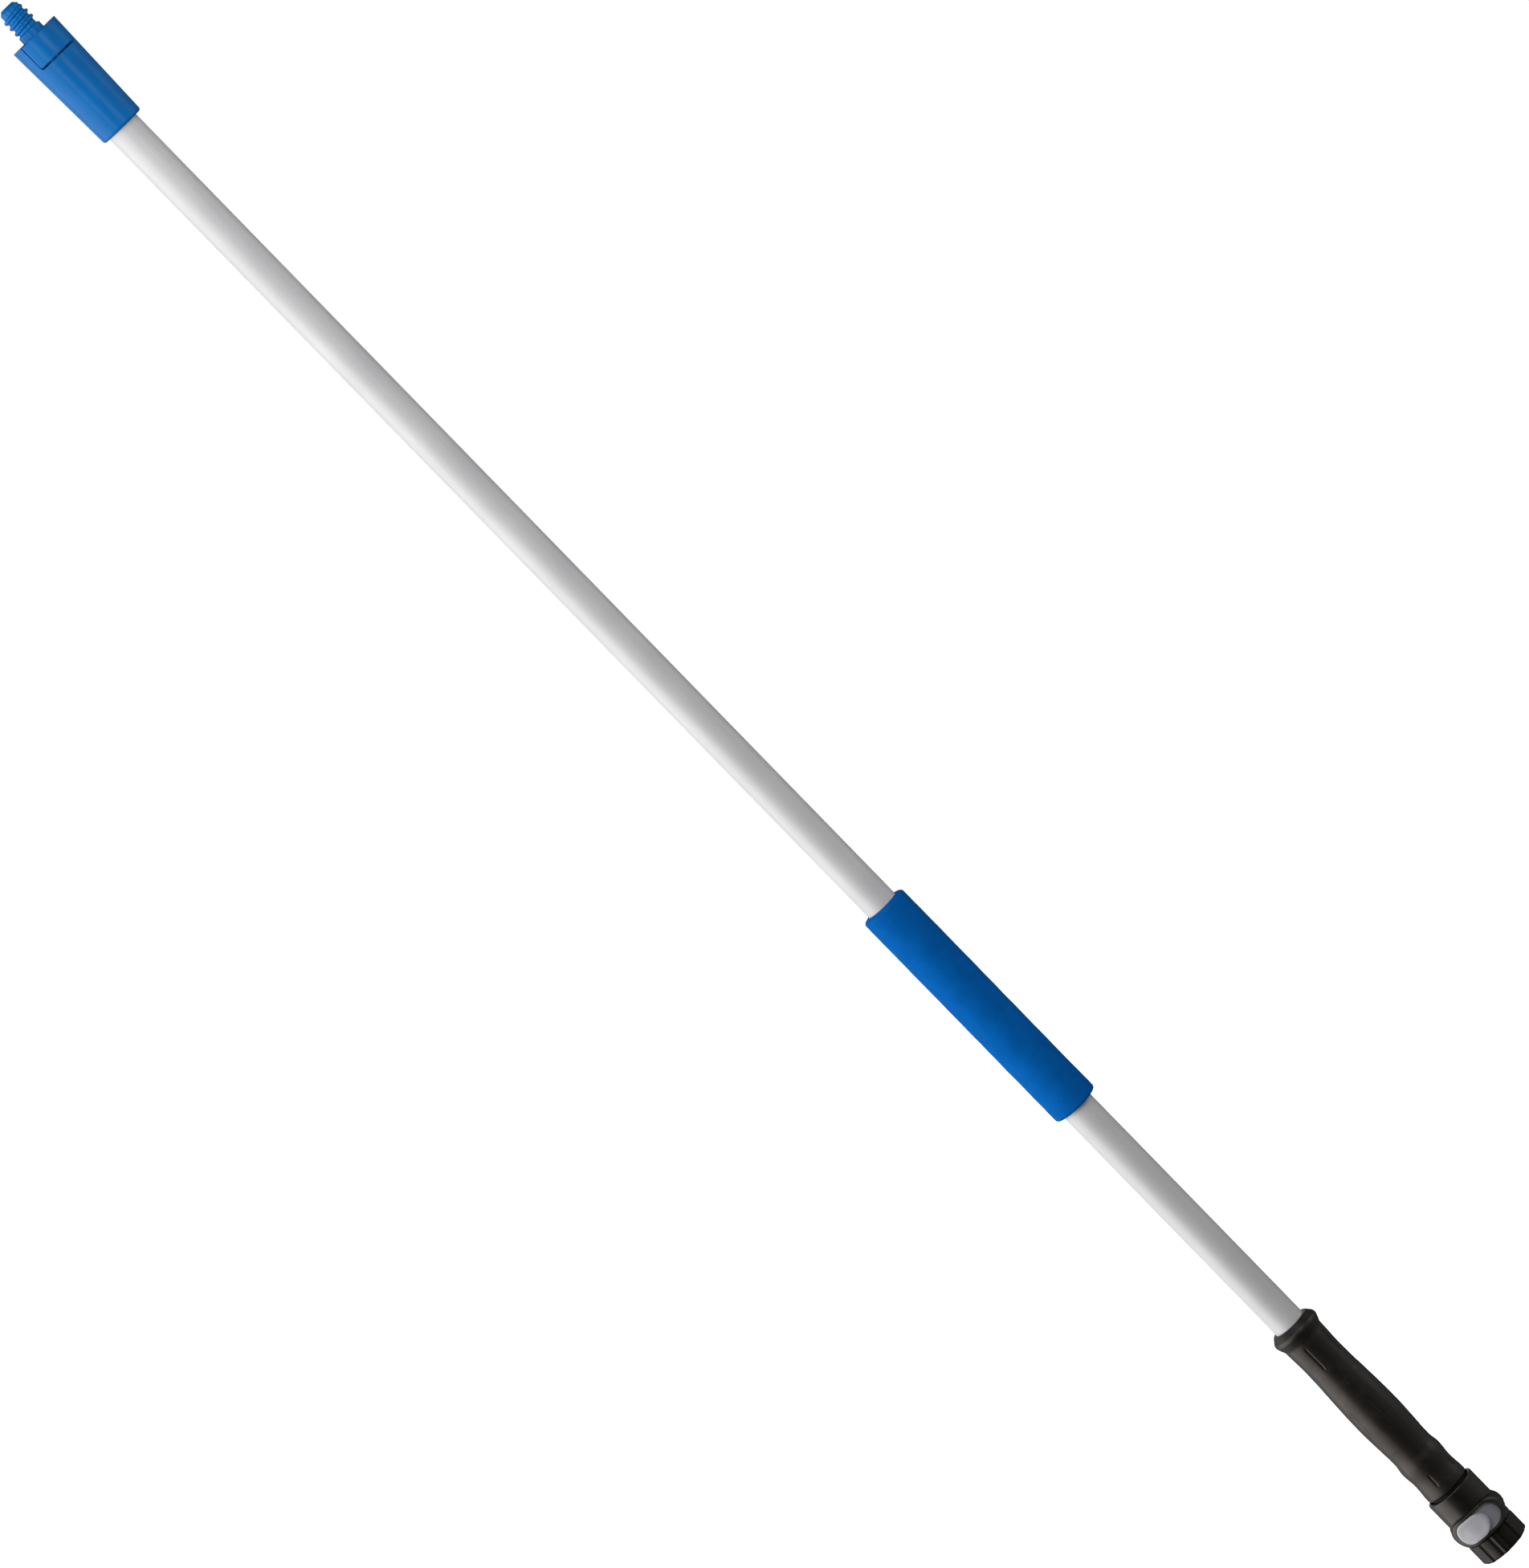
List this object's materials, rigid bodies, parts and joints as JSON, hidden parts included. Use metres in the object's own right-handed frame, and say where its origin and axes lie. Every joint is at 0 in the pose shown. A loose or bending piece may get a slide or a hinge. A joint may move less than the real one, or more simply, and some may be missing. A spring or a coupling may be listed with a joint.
{
  "type": "flow-through screw-tip pole",
  "caption": "Straight aluminium pole that carries water: threaded plastic tip, foam hand sleeve, contoured grip, thumb-operated quarter-turn valve and a swivel hose nut.",
  "frame": {"origin": "on the pole's axis, at the open face of the hose nut; the hose thread starts 1 mm above it", "axes": "+Z along the pole from the hose nut to the screw tip, the thumb slider faces -Y, and it moves sideways on a curve about an axis along Z (towards +X opens the valve)"},
  "size_m": [0.0456, 0.0445, 1.524],
  "materials": {
    "tip_blue": "satin moulded plastic, mid blue",
    "seal_rubber": "matte black rubber",
    "tube_aluminium": "satin, drawn lengthwise",
    "foam_blue": "matt skinned foam, blue",
    "grip_rubber": "satin black soft rubber",
    "body_black": "satin black plastic",
    "slider_grey": "matt light grey plastic",
    "fork_plastic": "natural acetal",
    "track_grey": "matt dark grey plastic",
    "stem_plastic": "natural acetal",
    "ball_plastic": "polished white acetal",
    "seat_plastic": "white fluoropolymer",
    "screen_plastic": "natural plastic"
  },
  "bodies": {
    "pole": {"screw_tip": "tip_blue", "tip_seal": "seal_rubber", "tip_socket": "tip_blue", "socket_seal": "seal_rubber", "pole_tube": "tube_aluminium", "foam_sleeve": "foam_blue", "grip": "grip_rubber", "valve_body": "body_black", "tube_seal": "seal_rubber", "slider_track": "track_grey", "ball_seats": "seat_plastic", "tailpiece": "body_black", "tailpiece_seal": "seal_rubber", "hose_washer": "seal_rubber", "inlet_screen": "screen_plastic"},
    "slider": {"thumb_slider": "slider_grey", "slider_fork": "fork_plastic"},
    "valve_core": {"valve_stem": "stem_plastic", "stem_seal": "seal_rubber", "valve_ball": "ball_plastic"},
    "nut": {"hose_nut": "body_black"}
  },
  "joints": [
    {"name": "slider_swing", "type": "hinge", "parent": "pole", "child": "slider", "pos_m": [0, 0.0046, 0.0295], "axis": [0, 0, 1], "range_deg": [0, 25]},
    {"name": "valve_turn", "type": "hinge", "parent": "pole", "child": "valve_core", "pos_m": [0, 0, 0.032], "axis": [0, -1, 0], "range_deg": [0, 90]},
    {"name": "hose_nut_spin", "type": "hinge", "parent": "pole", "child": "nut", "pos_m": [0, 0, 0], "axis": [0, 0, 1], "continuous": true}
  ],
  "couplings": [
    {"joint": "valve_turn", "follows": "slider_swing", "ratio": 3.6}
  ]
}
